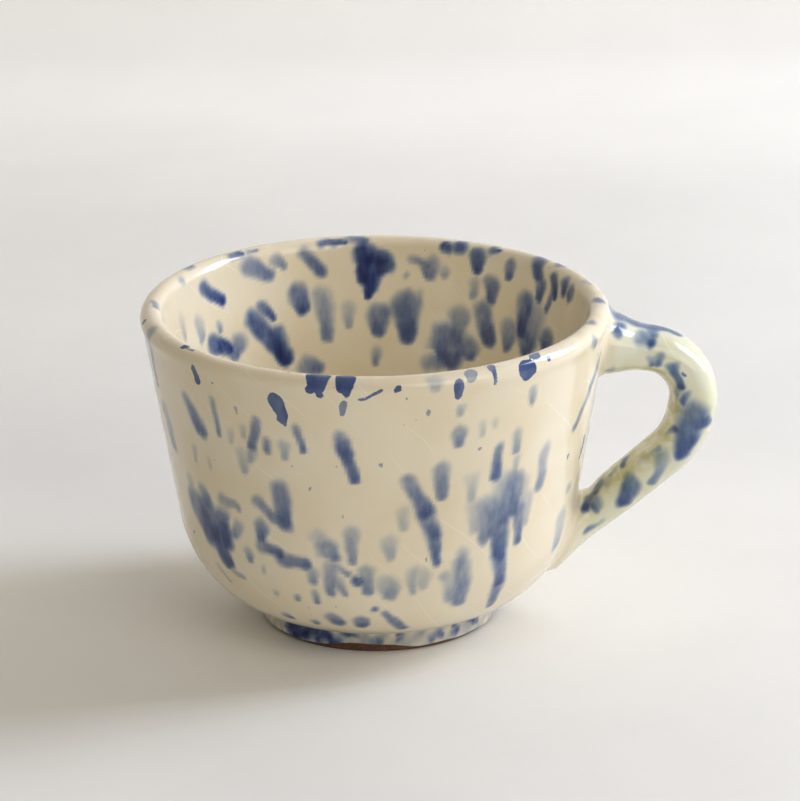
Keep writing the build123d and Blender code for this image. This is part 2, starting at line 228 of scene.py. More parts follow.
OUTSIDE = [
    # Left of the front, from the lip down
    (-162, 76, -164, 62, 3.5, 2.5, 0.6, 0.8), (-145, 77, -145, 76.5, 2.4, 2, 1, 0.2),
    (-145, 76.8, -141, 76.6, 1.2, 0.6, 0.8, 0.3), (-138.5, 74, -138.2, 69.5, 1.7, 2.2, 0.85, 0.35),
    (-145, 65, -140.5, 57, 2, 4.8, 0.8, 0.9), (-139, 60, -138, 57, 1.5, 1.5, 0.5, 0.6),
    (-134, 67, -133, 58, 1.5, 1.2, 0.55, 0.6), (-126, 66.5, -126, 64.5, 0.8, 0.8, 0.3, 0.4),
    (-129, 60, -129, 57, 1.5, 1.5, 0.25, 0.6), (-114.3, 70.4, -112.8, 65, 4.1, 2.6, 0.9, 0.3),
    (-113.1, 66, -112.3, 63.4, 2.8, 1, 0.9, 0.3), (-109.4, 64, -108.4, 57.5, 1.9, 1.4, 0.85, 0.5),
    (-120.5, 64.5, -122.5, 57, 2, 2.8, 0.75, 0.6), (-122.5, 57, -124, 52.5, 2.5, 1.5, 0.4, 0.7),
    (-126, 55, -126, 50, 2.5, 2.5, 0.3, 1), (-118, 59.5, -118, 55.5, 1.8, 1.8, 0.6, 0.6),
    (-113.5, 59, -113.5, 55, 1.8, 1.8, 0.45, 0.7), (-125, 62, -125, 59, 1.5, 1.5, 0.3, 0.6),
    (-161, 58, -158, 47, 4, 4, 0.5, 1), (-145, 52, -145, 48, 1.2, 1.2, 0.3, 0.6),
    (-139, 50.5, -139, 47.5, 1, 1, 0.25, 0.6), (-116, 48.5, -115.4, 37.5, 4.6, 5, 0.85, 0.6),
    (-123.5, 44, -118, 38.5, 2.5, 3, 0.6, 0.7), (-123, 37.5, -123.5, 32.5, 3, 3, 0.8, 0.8),
    (-123, 32, -118, 30, 3, 3, 0.8, 0.7), (-118, 30, -110.5, 28.3, 3, 3.2, 0.8, 0.7),
    (-108.5, 27.5, -108.5, 23.5, 2.5, 2, 0.5, 0.8), (-150, 38.5, -144, 29, 8, 9, 0.9, 0.6),
    (-144, 38, -139.5, 27, 10, 7, 0.95, 0.6), (-142, 31, -137.5, 22.5, 7, 3, 0.95, 0.5),
    (-138.5, 37, -137, 29, 4, 5, 0.85, 0.6), (-138, 38, -136, 31, 3, 4, 0.6, 0.8),
    (-145, 42, -143, 38, 3, 4, 0.6, 0.8), (-140, 26, -138.5, 22, 3, 1, 0.9, 0.6),
    (-151, 43, -151, 40, 2.5, 2.5, 0.25, 0.8), (-135.5, 41, -131, 40, 3, 3, 0.5, 0.7),
    (-131, 36, -133, 31.5, 2.5, 2.5, 0.5, 0.7), (-135.5, 38, -135.5, 35.5, 2, 2, 0.5, 0.6),
    (-129, 29, -129, 26.5, 2.2, 2.2, 0.55, 0.6), (-124, 26, -124, 24.5, 1, 1, 0.35, 0.5),
    (-137, 22.5, -132.5, 21.3, 1.2, 1.2, 0.5, 0.5), (-144, 21.5, -141, 18, 1.2, 1.2, 0.4, 0.5),
    (-121.5, 20, -121.5, 18.5, 1.5, 1.5, 0.35, 0.5), (-114.5, 19.5, -114.5, 18, 1.6, 1.6, 0.6, 0.5),
    (-108.5, 21.5, -108.5, 18.5, 1.4, 1.4, 0.6, 0.5), (-122, 12.5, -121, 11, 2.5, 2.5, 0.8, 0.5),
    (-112, 12, -112, 10.5, 2, 2, 0.7, 0.5), (-170, 75.5, -170, 75.5, 2, 2, 0.8, 0.4),
    (-111.5, 77, -111.5, 77, 0.9, 0.9, 0.6, 0.3), (-120, 77, -120, 77, 0.9, 0.9, 0.5, 0.3),
    (-126, 77, -126, 77, 1.1, 1.1, 0.6, 0.3), (-134, 73, -134, 73, 0.8, 0.8, 0.3, 0.3),
    # The front
    (-103.5, 34, -102, 30, 4.5, 4.5, 0.7, 1), (-106, 36, -106, 33, 4, 4, 0.35, 1),
    (-103.5, 29, -103.5, 21, 3, 2.5, 0.6, 0.9), (-101, 25, -99.5, 21.5, 2.5, 2.5, 0.5, 0.8),
    (-102, 29, -98, 26.5, 1.5, 1.5, 0.5, 0.7), (-97, 38.5, -97, 29.5, 2.5, 2.5, 0.55, 0.8),
    (-95.5, 25.5, -95.5, 25.5, 3, 3, 0.95, 0.5), (-93, 28.5, -93, 21.5, 3.2, 3.2, 0.6, 0.8),
    (-104.5, 14.5, -103.5, 11.5, 4.2, 4, 0.8, 0.5), (-95.5, 14, -95.2, 11, 4.6, 4, 0.9, 0.45),
    (-91, 17, -91, 17, 1.8, 1.8, 0.7, 0.5), (-98.8, 62.5, -97, 56.5, 3, 3.6, 0.7, 0.5),
    (-98.2, 61, -95.4, 50.3, 3.4, 2, 1, 0.5), (-97.5, 70.5, -97.5, 67.5, 1.6, 1.6, 0.6, 0.4),
    (-103.6, 77, -103.6, 74.3, 5.4, 4.6, 0.95, 0.2), (-105.3, 73.4, -105.3, 73.4, 2, 2, 0.95, 0.2),
    (-103.2, 73, -103.2, 72, 2, 1.4, 0.95, 0.2), (-97, 77, -97, 74, 4.8, 4.2, 0.95, 0.2),
    (-96.6, 73, -96.6, 71.8, 1.8, 1, 0.95, 0.2), (-93.5, 71.5, -88, 73.8, 0.9, 0.9, 0.8, 0.2),
    (-84.5, 73.5, -84.5, 73.5, 1.8, 1.8, 0.9, 0.2), (-82.5, 72, -82.5, 72, 0.8, 0.8, 0.6, 0.3),
    (-75.5, 76, -75.5, 73, 3.2, 3.2, 0.35, 0.6), (-75, 73.5, -75, 73.5, 0.8, 0.8, 0.8, 0.3),
    (-80, 65.5, -80, 65.5, 0.8, 0.8, 0.3, 0.3), (-83, 65, -83, 65, 0.8, 0.8, 0.25, 0.3),
    (-77, 68.5, -77, 67, 1, 1, 0.5, 0.4), (-73, 54, -73, 45.5, 3.6, 2.6, 0.65, 0.8),
    (-82, 51.5, -77, 42, 2.6, 4.2, 0.85, 0.7), (-77.4, 43.5, -74.6, 35.5, 3.6, 4.2, 0.75, 0.7),
    (-75.3, 38.5, -73.2, 28, 4.2, 1.6, 0.9, 0.6), (-83, 44, -82.5, 38, 2.4, 2.4, 0.3, 1),
    (-86.5, 36, -86.5, 31, 3, 3, 0.35, 1), (-87, 25, -87, 20, 4.5, 4.5, 0.5, 1.2),
    (-80, 28, -80, 21, 2, 2, 0.4, 1), (-77, 27, -77, 22, 3, 3, 0.3, 1),
    (-88, 16, -81.5, 10, 1.5, 3.4, 0.85, 0.45), (-71, 25, -71, 25, 3, 3, 0.35, 0.9),
    # Right of the front
    (-66.5, 76, -66.5, 74.5, 3, 3, 0.4, 0.4), (-70, 74.5, -70, 70.5, 2.4, 2.4, 0.85, 0.2),
    (-60.5, 76.3, -60.5, 76.3, 2.4, 2.4, 0.6, 0.4), (-60.5, 76, -60.5, 72, 1.2, 0.6, 0.9, 0.3),
    (-51, 75, -50.5, 72.8, 4.8, 4.4, 0.95, 0.2), (-47, 76.8, -47, 75.5, 3, 3, 0.6, 0.3),
    (-43.5, 74.8, -43.5, 74.8, 1.5, 1.5, 0.9, 0.2), (-32, 77, -30, 77, 1.5, 1.5, 0.7, 0.4),
    (-24, 74, -22, 71, 2, 2, 0.6, 0.5), (-18, 77, -18, 77, 4, 4, 0.6, 0.6),
    (-13, 67, -20, 60, 3, 3, 0.6, 0.6), (-20, 60, -27, 53, 3, 2, 0.6, 0.6),
    (-16, 48, -18, 42.5, 2, 1, 0.8, 0.3), (-48.5, 68.5, -48.5, 65, 2, 2, 0.55, 0.5),
    (-69, 68.5, -69, 66, 1.6, 1.6, 0.4, 0.5), (-69, 62.5, -69, 58, 3, 3, 0.7, 0.6),
    (-63, 63, -63, 60, 1.5, 1.5, 0.25, 0.6), (-59, 63, -59, 61, 1.6, 1.6, 0.2, 0.6),
    (-52, 59, -52, 54, 2.4, 1.8, 0.5, 0.8), (-57.6, 57, -57.6, 48.5, 1.8, 2.8, 0.9, 0.5),
    (-51, 53, -51, 46, 1.2, 1.2, 0.4, 0.7), (-41, 52, -41, 41.5, 3.2, 2.5, 0.5, 0.8),
    (-64.5, 50, -64.5, 43.5, 2.5, 2.5, 0.3, 1), (-56, 49, -56, 38, 3, 3.4, 0.35, 1.2),
    (-53, 48, -53, 36, 3.6, 4, 0.6, 1), (-50.2, 47, -50.2, 37, 4, 4, 0.75, 0.8),
    (-47.6, 46, -47.6, 38, 2.6, 2.6, 0.3, 1), (-63, 43, -62.5, 35, 3.4, 3.4, 0.3, 1.2),
    (-60, 43, -59.5, 32, 4, 3.6, 0.5, 1), (-57.4, 42, -57, 33, 4, 4, 0.65, 1),
    (-54.5, 40, -53.8, 27, 5.4, 4.6, 0.85, 0.8), (-53.8, 29, -52, 19, 4.4, 3.2, 0.9, 0.7),
    (-52.2, 21, -50.5, 12.5, 3.4, 2, 0.75, 0.8), (-48, 39.5, -47.5, 29, 3.6, 2.4, 0.8, 0.7),
    (-45, 42, -45, 34, 2.5, 2.5, 0.35, 0.9), (-69, 25, -68, 18, 3.6, 3.2, 0.4, 1.2),
    (-66, 28, -65, 16.5, 4.4, 4.2, 0.6, 0.9), (-66, 31, -66, 26, 2.5, 2.5, 0.45, 0.9),
    (-26, 31, -26, 22, 5, 4, 0.45, 1), (-24, 37, -24, 37, 3, 3, 0.3, 0.9),
]

INSIDE = [
    # Left of the back
    (147, 72.5, 140, 66.5, 3, 3, 0.9, 0.6), (128.5, 74.5, 121.5, 69, 4, 3, 0.55, 1),
    (119.5, 74, 117, 71, 2.5, 2.5, 0.45, 0.8), (110.7, 75, 106, 69, 2.5, 4, 0.65, 0.8),
    (105, 76, 98.5, 76, 1.6, 1.6, 0.8, 0.5), (133, 76.5, 129.5, 76.5, 2, 2, 0.6, 0.5),
    (127, 76.5, 124.5, 76.5, 1.4, 1.4, 0.45, 0.5), (150, 77, 147, 77, 1.5, 1.5, 0.5, 0.5),
    (156, 76, 156, 76, 2, 2, 0.3, 0.6), (178, 77, 182, 76.2, 1.2, 1.2, 0.5, 0.5),
    (113.5, 65.5, 112, 59.5, 4.5, 4.5, 0.8, 0.8), (125.5, 63.5, 122.5, 59.5, 2.5, 2.5, 0.75, 0.7),
    (129.5, 61.5, 120, 49.5, 4.4, 5, 0.9, 0.8), (121.5, 57, 119.5, 49, 3.6, 4, 0.85, 0.8),
    (147, 59.5, 140.5, 54, 4, 4, 0.9, 0.6), (136, 57.5, 138.5, 52, 4.5, 4.5, 0.55, 0.9),
    (106, 64, 105, 52, 3.5, 3.5, 0.5, 1.3), (143, 62.5, 143, 60, 1.8, 1.8, 0.4, 0.6),
    (152, 65, 152, 60, 3, 3, 0.3, 1), (162, 68, 162, 63, 3, 3, 0.2, 1),
    (98.5, 61, 98.5, 55, 2.5, 2.5, 0.35, 1),
    # The back
    (92.5, 73, 92.2, 71, 6, 6, 1.1, 0.6), (88, 72, 88.4, 70, 5, 5, 1.1, 0.6),
    (90.6, 70.5, 91.8, 61.5, 7, 1.8, 1.1, 0.6), (94, 74, 93.5, 66, 3.5, 3, 1.2, 0.5),
    (87, 70.5, 88, 68, 4, 3, 1, 0.6), (96, 77, 93, 75, 3.8, 3.8, 0.5, 0.6),
    (89, 59.5, 89, 53, 4.8, 4.8, 0.75, 1), (90, 50, 90, 46, 1.6, 1.6, 0.45, 0.8),
    (112.5, 48, 109, 45, 4, 4, 0.6, 1), (79.5, 72.5, 74, 69.5, 1.5, 1.5, 0.5, 0.6),
    (74, 71, 74, 67, 4.5, 4.5, 0.6, 0.9), (81, 68, 81, 68, 1.5, 1.5, 0.3, 0.6),
    (81, 62, 80.5, 51.5, 6, 6, 0.85, 1.2), (77, 63.5, 77, 61, 1.5, 1.5, 0.35, 0.8),
    (73, 47, 67, 47, 3, 3, 0.6, 1),
    # Right of the back
    (69.5, 75, 69.5, 75, 3.8, 3.8, 0.95, 0.5), (65.5, 75.5, 65.5, 75.5, 4.4, 4.4, 0.85, 0.7),
    (59.5, 75, 59.5, 70.5, 4, 4, 1, 0.6), (55.5, 76, 53.5, 76, 2, 2, 0.75, 0.6),
    (48.3, 74, 48.3, 70.5, 2.6, 2.6, 0.7, 0.6), (54, 69, 54, 63.5, 4, 4, 0.8, 0.8),
    (59.8, 68.5, 59.8, 64, 2.2, 2.2, 0.35, 0.8), (58, 63, 58, 59, 1.6, 1.6, 0.3, 0.8),
    (69.5, 70, 69.5, 68, 2, 2, 0.4, 0.7), (39, 77, 37, 71.5, 4, 4, 0.75, 0.7),
    (35.5, 71.5, 35.5, 67, 3, 3, 0.85, 0.7), (32.5, 77, 29.5, 77, 2, 2, 0.75, 0.5),
    (30, 74.5, 28, 69, 2.5, 2.5, 0.85, 0.6), (29, 72, 31, 65.5, 2, 2, 0.6, 0.7),
    (24, 74.5, 24, 70.5, 3.5, 3.5, 0.75, 0.7), (19, 74, 21, 70.5, 2.5, 2.5, 0.65, 0.7),
    (16.5, 77, 13.5, 77, 2, 2, 0.45, 0.6), (0, 77, 0, 77, 5, 5, 0.7, 0.6),
    (41, 67, 41, 57, 4.8, 4.8, 0.8, 0.8), (36, 65, 36, 55, 6, 6, 0.4, 1.5),
    (56, 62, 53, 53, 4.5, 4, 0.8, 1), (64, 60, 64, 52, 4.5, 4.5, 0.55, 1),
    (66, 52, 66, 48, 10, 10, 0.85, 1.2), (69, 56, 69, 48, 4, 4, 0.65, 1),
    (59.5, 53, 59.5, 49, 4, 4, 0.6, 1), (46, 59, 46, 53, 4, 4, 0.55, 1), (38, 58, 38, 53, 6, 6, 0.7, 1),
    (29, 59, 29, 57, 6, 6, 0.8, 1),
]

# On the handle: each end as (x, y, z), then the same widths, cobalt and softness

HANDLE = [
    ((54.5, 0.5, 73.4), (71, 0.5, 67.6), 5, 2, 0.85, 0.6),
    ((64.5, 0, 70.4), (64.5, -5, 69.8), 3, 3, 0.8, 0.6),
    ((56.5, -6, 71.2), (56.5, -6, 71.2), 3.6, 3.6, 0.75, 0.6),
    ((62.3, -6.5, 69.1), (62.3, -6.5, 69.1), 5, 5, 0.5, 0.8),
    ((63.8, -7, 68), (63.8, -7, 68), 2.6, 2.6, 1, 0.5),
    ((64.5, -7, 64.4), (64.5, -7, 63), 1.5, 1.5, 0.6, 0.6),
    ((66.3, -7, 64.4), (66.1, -7, 62.8), 2, 2, 0.6, 0.6),
    ((54, -7, 61.5), (55.3, -7, 63.5), 1.5, 1.5, 0.5, 0.5),
    ((69.3, -7, 61.8), (71, -7, 57), 2.6, 1.6, 0.85, 0.6),
    ((70.5, -7, 56), (69, -7, 52), 1.5, 1.5, 0.6, 0.5),
    ((72.5, -7, 55), (71.5, -7, 53.5), 1.8, 1.8, 0.6, 0.5),
    ((72, -7, 60.5), (72, -7, 60.5), 1.2, 1.2, 0.5, 0.4),
    ((74, -7, 50), (71.5, -7, 41), 7.5, 4.5, 0.85, 0.8),
    ((67.5, -7, 45.5), (70, -7, 46), 2, 2, 0.8, 0.6), ((74.5, -7, 48), (77, -6, 48), 3, 3, 0.7, 0.7),
    ((67, -7, 39.5), (64.5, -7, 33.5), 3.4, 2, 0.45, 0.8),
    ((59.8, -7, 33), (57.5, -7, 29), 4.4, 4, 0.85, 0.6),
    ((58.3, -1, 37), (58, -2, 36.2), 2.4, 2, 1, 0.5),
    ((52.6, -1.8, 31.6), (51, -2.8, 30), 2.6, 2.6, 0.85, 0.5),
    ((50, -3.5, 28.5), (48.9, -6, 27), 2.4, 2, 0.9, 0.5),
    ((54.5, -3, 33), (54, -4, 32), 1.6, 1.6, 0.3, 0.6),
    ((51.8, -6, 28), (51, -6.5, 27.4), 2.4, 2.2, 0.6, 0.5),
    ((55.9, -1.8, 34.4), (55.4, -2.2, 33.8), 1.5, 1.5, 0.45, 0.6),
    ((52.5, -8, 24), (49, -8, 21.5), 1.2, 1.2, 0.6, 0.5),
    ((60, -7, 38.5), (66, -7, 41.5), 2, 2, 0.3, 0.9),
]


def scatter(count, seed, azimuths, heights, cobalt):
    """Splashes where the mug isn't seen, of the same kinds as those that are."""
    dice = np.random.default_rng(seed)
    rows = []
    for _ in range(count):
        azimuth, top = dice.uniform(*azimuths), dice.uniform(*heights)
        width, length = dice.uniform(1.2, 4.5), abs(dice.normal(0, 5))
        bottom = max(top - length, heights[0] - 2)
        strength = cobalt * dice.uniform(0.35, 1)
        soft = dice.choice([0.3, 0.6, 0.9, 1.2])
        end, end_width = azimuth + dice.normal(0, 2), width * dice.uniform(0.6, 1.1)
        rows.append((azimuth, top, end, bottom, width, end_width, strength, soft))
    return rows


def foot_specks(count, seed):
    """Small dark spots round the foot's glazed side, thickest left of the front."""
    dice = np.random.default_rng(seed)
    on_left = dice.random(count) < 0.45
    azimuths = np.where(on_left, dice.uniform(-140, -112, count), dice.uniform(-180, 180, count))
    tops, widths = dice.uniform(1.8, 5.2, count), dice.uniform(0.8, 2.4, count)
    rows = []
    for azimuth, top, width in zip(azimuths, tops, widths):
        end, strength = azimuth + dice.normal(0, 1.5), dice.uniform(0.5, 1)
        rows.append((azimuth, top, end, top - 0.5, width, width, strength, 0.5))
    return rows


def fine_specks(count, seed):
    """The finest of the spatter, all round the outside."""
    dice = np.random.default_rng(seed)
    rows = []
    for azimuth, top, width in zip(*dice.uniform((-180, 10, 0.5), (180, 74, 1.0), (count, 3)).T):
        bottom, strength = top - dice.uniform(0, 1.5), dice.uniform(0.2, 0.6)
        rows.append((azimuth, top, azimuth, bottom, width, width, strength, 0.3))
    return rows


def splash(width, away, share, soft, ink, layers):
    """Lay one splash over the layers: sharp ones as a distance to their edge, soft ones as ink."""
    inside = width / 2 - away
    if soft <= CRISP_EDGE:
        nearer = inside > layers["crisp"]
        layers["crisp"] = np.where(nearer, inside, layers["crisp"])
        layers["crisp_ink"] = np.where(nearer, ink, layers["crisp_ink"])
        return
    # A soft splash is faint and blurred where it starts, darker and sharper where it ends
    soft = np.maximum(soft * (1.5 - share), LEAST_SOFT)
    value = ink * smooth(inside, -soft, np.maximum(soft, 0.3 * width)) * (0.75 + 0.5 * share)
    # Where two cross, the fainter adds little
    low, high = np.minimum(value, layers["ink"]), np.maximum(value, layers["ink"])
    layers["ink"] = high + 0.3 * low


def blank_layers(count):
    """A glaze with no splash on it."""
    return {"ink": np.zeros(count), "crisp": np.full(count, FAR), "crisp_ink": np.zeros(count)}


def share_along(product, square):
    """How far along its run each point of a splash lies, 0 to 1. A round spot counts as half way."""
    return np.where(square < 0.01, 0.5, np.clip(product / np.maximum(square, 0.01), 0, 1))


def bowl_layers(points, along, heights, groups):
    """Splashes on the rows of the bowl. along is each row's distance from the crest, negative inside."""
    flat = points.reshape(-1, 3)
    lift = points[..., 2] - heights[:, None]
    down = (along[:, None] - lift * np.where(along < 0, -1, 1)[:, None]).ravel()
    azimuth = np.degrees(np.arctan2(flat[:, 1], flat[:, 0]))
    radius = np.hypot(flat[:, 0], flat[:, 1])
    # Distances are measured on uneven ground, so that no edge is a clean curve
    shift = 0.32 * ripple(flat, 6.0, 11) + 0.1 * ripple(flat, 2.2, 12)
    down = down + 0.45 * ripple(flat, 7.0, 13) + 0.3 * ripple(flat * (1, 1, 0.25), 2.6, 14)
    layers = blank_layers(len(flat))
    crest = heights.max()
    for splashes, side, strength in groups:
        rows = along * side >= 0
        order = np.argsort(heights[rows])
        known = heights[rows][order], np.abs(along[rows][order])
        for start, top, end, bottom, width, end_width, ink, soft in splashes:
            # A splash of one width tapers a little as well
            if width == end_width:
                width, end_width = 1.15 * width, 0.75 * width
            first, last = [side * (np.interp(z, *known) - max(z - crest, 0)) for z in (top, bottom)]
            # A splash's round ends reach past its run, so the run is cut a little short
            trim = min(0.25 * width, 0.3 * abs(last - first))
            trim *= np.sign(last - first)
            first, last = first + trim, last - trim
            round_by = np.radians((azimuth - start + 180) % 360 - 180) * radius + shift
            run_round, run_down = np.radians(end - start) * radius, last - first
            share = share_along(round_by * run_round + (down - first) * run_down, run_round**2 + run_down**2)
            away = np.hypot(round_by - share * run_round, down - first - share * run_down)
            here = width + (end_width - width) * share
            splash(here, away, share, soft, strength * ink**INK_POWER, layers)
    return {name: values.reshape(points.shape[:2]) for name, values in layers.items()}


def handle_layers(points, splashes, strength):
    """Splashes on the handle. They spread further across the strap than along it."""
    layers = blank_layers(len(points))
    warped = points + 0.5 * np.stack([ripple(points, 5.0, seed) for seed in (21, 22, 23)], -1)
    for start, end, width, end_width, ink, soft in splashes:
        start, run = np.array(start), np.subtract(end, start)
        share = share_along((warped - start) @ run, run @ run)
        away = warped - start - share[:, None] * run
        away[:, 1] *= 0.6
        away = np.linalg.norm(away, axis=1)
        here = width + (end_width - width) * share
        splash(here, away, share, soft, strength * ink**INK_POWER, layers)
    return layers


# ---- Meshes ------------------------------------------------------------------------------


def grid_object(name, points, normals, cap=False):
    """A mesh from a grid of points in millimetres, closed round its columns. cap closes the last row."""
    rows, columns, _ = points.shape
    index = np.arange(rows * columns).reshape(rows, columns)
    index = np.concatenate([index, index[:, :1]], 1)
    here, there = index[:-1], index[1:]
    faces = np.stack([here[:, :-1], here[:, 1:], there[:, 1:], there[:, :-1]], -1).reshape(-1, 4).tolist()
    if cap:
        faces.append(index[-1, :-1].tolist())
    mesh = bpy.data.meshes.new(name)
    mesh.from_pydata((points.reshape(-1, 3) * MM).tolist(), [], faces)
    mesh.update()
    mesh.polygons.foreach_set("use_smooth", [True] * len(mesh.polygons))
    mesh.normals_split_custom_set_from_vertices(normals.reshape(-1, 3).tolist())
    obj = bpy.data.objects.new(name, mesh)
    bpy.context.scene.collection.objects.link(obj)
    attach(obj, "root")
    return obj


def grid_normals(points):
    """Normals of a grid that is closed round its columns."""
    along = np.gradient(points, axis=0)
    wrapped = np.concatenate([points[:, -1:], points, points[:, :1]], 1)
    around = (wrapped[:, 2:] - wrapped[:, :-2]) / 2
    normals = np.cross(around, along)
    return normals / np.maximum(np.linalg.norm(normals, axis=-1, keepdims=True), 1e-9)


def paint(obj, **layers):
    """Values at each vertex, for the glaze's material."""
    for name, values in layers.items():
        layer = obj.data.attributes.new(name, "FLOAT", "POINT")
        layer.data.foreach_set("value", np.ascontiguousarray(values, dtype=np.float32).ravel())


ROUND = 480  # columns round the bowl
STEP = 0.8  # between its rows
BARE_AZIMUTH, BARE_HALF_WIDTH, BARE_RISE = 264, 18, 1.1  # where the glaze draws up from the foot

foot_line = foot_joint + foot_side * ((bare_foot - foot_joint[1]) / foot_side[1])
foot_edge = [foot_joint + foot_normal * glaze, foot_line + foot_normal * glaze]
outer_line = np.concatenate([outside(glaze), foot_edge])
outer_line = respace(outer_line, STEP, ease=1.2)
edge_turn = np.radians([[30], [60], [90], [110]])
glaze_edge = foot_line + foot_normal * glaze * np.cos(edge_turn) + foot_side * glaze * np.sin(edge_turn)
inner_line = respace(inside(glaze), STEP)
line = np.concatenate([glaze_edge[::-1], outer_line[::-1], inner_line[1:]])
seam = len(glaze_edge) + len(outer_line) - 1

turn = np.linspace(0, 2 * math.pi, ROUND, endpoint=False)
bowl = np.stack([
    line[:, :1] * np.cos(turn),
    line[:, :1] * np.sin(turn),
    line[:, 1:] + 0 * turn,
], -1)
# The glaze's lower edge wavers round the foot
drip = 0.15 + 0.10 * np.sin(3 * turn + 0.5) + 0.08 * np.sin(7 * turn + 2) + 0.06 * np.sin(17 * turn)
drip += BARE_RISE * np.exp(-((((np.degrees(turn) - BARE_AZIMUTH) / BARE_HALF_WIDTH) ** 2) ** 2))
bowl[..., 2] += drip * (1 - smooth(line[:, 1:], bare_foot, foot_joint[1]))
bowl = wobble(bowl.reshape(-1, 3)).reshape(bowl.shape)
bowl_normals = grid_normals(bowl)

outer_glaze = grid_object("glaze_outside", bowl[:seam + 1], bowl_normals[:seam + 1])
inner_glaze = grid_object("glaze_inside", bowl[seam:], bowl_normals[seam:], cap=True)
for obj, name in ((outer_glaze, "outer_glaze"), (inner_glaze, "inner_glaze")):
    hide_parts(name)

run = np.concatenate([[0], np.cumsum(np.linalg.norm(np.diff(line, axis=0), axis=1))])
along = run[seam] - run
unseen_outside = scatter(75, 31, (-8, 188), (14, 76), 0.9) + foot_specks(130, 32) + fine_specks(70, 35)
unseen_inside = scatter(34, 33, (-180, 180), (14, 44), 0.9) + scatter(20, 34, (-175, -5), (44, 76), 0.9)
groups = [(OUTSIDE + unseen_outside, 1, OUTSIDE_INK), (INSIDE + unseen_inside, -1, INSIDE_INK)]
layers = bowl_layers(bowl, along, line[:, 1], groups)
# A thin wash of cobalt round the foot's glazed side, which also darkens it as painted shade where it meets
# the floor, and the tan of thin glaze along the lip's crest
foot_wash_and_shade = np.repeat(1 - smooth(line[:, 1], 4.4, 5.3), ROUND).reshape(-1, ROUND) * (along > 0)[:, None]
layers["ink"] += foot_wash_and_shade * (0.12 + 0.1 * ripple(bowl.reshape(-1, 3), 3.0, 41).reshape(-1, ROUND))
layers["rim"] = np.repeat(np.exp(-((along / 1.6) ** 2))[:, None], ROUND, 1)
for name, values in layers.items():
    paint(outer_glaze, **{name: values[:seam + 1]})
    paint(inner_glaze, **{name: values[seam:]})

# ---- The handle: the CAD's sections, swept, with glaze drawn round both roots ---------------

upper_root_drop, handle_reach, crown_radius, grip_radius, grip_turn = 9.6, 20.6, 12.0, 20.0, 50.0
handle_thickness, handle_width, crown_swell, crown_swell_length = 8.7, 13.6, 1.6, 14.0
upper_flare, upper_flare_length = 3.4, 5.5
tail_length, tail_lean, tail_spread, tail_flare_length, tail_turn_length = 15.6, 21.0, 4.0, 5.0, 11.0
section_squareness = 2.3
root_fillet, tail_fillet, tail_wipe = 2.0, 2.9, 5.0
ridge_turns, ridge_width, ridge_swell = (222, 318), 15, 0.05
inner_shade = 2.2  # how strongly the inner side takes its olive painted shade
clay_share = 0.8  # how much of its way out from the centre line the clay keeps, to stay under the glaze

upper_root_run = (lip_height - upper_root_drop - side_start[1]) / side_down[1]
upper_seat = side_start + side_down * upper_root_run + side_normal * slip
lower_seat_normal = heading(-tail_lean)
lower_seat = upper_turn_centre + lower_seat_normal * (upper_turn + slip)
crown_start_radius = upper_seat[0] + handle_reach - crown_radius * (1 + side_normal[1])
upper_arm = (crown_start_radius - upper_seat[0]) / side_normal[0]
crown_start = upper_seat + side_normal * upper_arm
crown_centre = crown_start + right_of(side_normal) * crown_radius
crown = math.radians(90 - side_lean) * crown_radius
grip_start = crown_centre + heading(0) * crown_radius
grip_centre = grip_start - heading(0) * grip_radius
grip = math.radians(grip_turn) * grip_radius
grip_end = grip_centre + heading(-grip_turn) * grip_radius
lower_way = heading(-90 - grip_turn)
lower_arm = (lower_seat - grip_end) @ lower_seat_normal / (lower_way @ lower_seat_normal)
furthest = upper_arm + crown
arm_length = furthest + grip + lower_arm


def near(distance, length):
    """1 at no distance, and next to nothing from twice the length on."""
    return np.exp(-((distance / length) ** 2))


def centre_line(distance):
    """(radius, height) and heading in degrees of the centre line, at an array of distances."""
    free = np.clip(distance, 0, arm_length)
    ends = np.array([0, upper_arm, furthest, furthest + grip, arm_length])
    along = np.interp(free, ends, [-side_lean, -side_lean, -90, -90 - grip_turn, -90 - grip_turn])
    at = np.empty((len(free), 2))
    parts = np.searchsorted(ends[1:4], free)
    turn = np.radians(along + 90)
    spoke = np.stack([np.cos(turn), np.sin(turn)], -1)
    at[parts == 0] = (upper_seat + side_normal * free[:, None])[parts == 0]
    at[parts == 1] = (crown_centre + crown_radius * spoke)[parts == 1]
    at[parts == 2] = (grip_centre + grip_radius * spoke)[parts == 2]
    at[parts == 3] = (grip_end + lower_way * (free[:, None] - furthest - grip))[parts == 3]
    return at, along


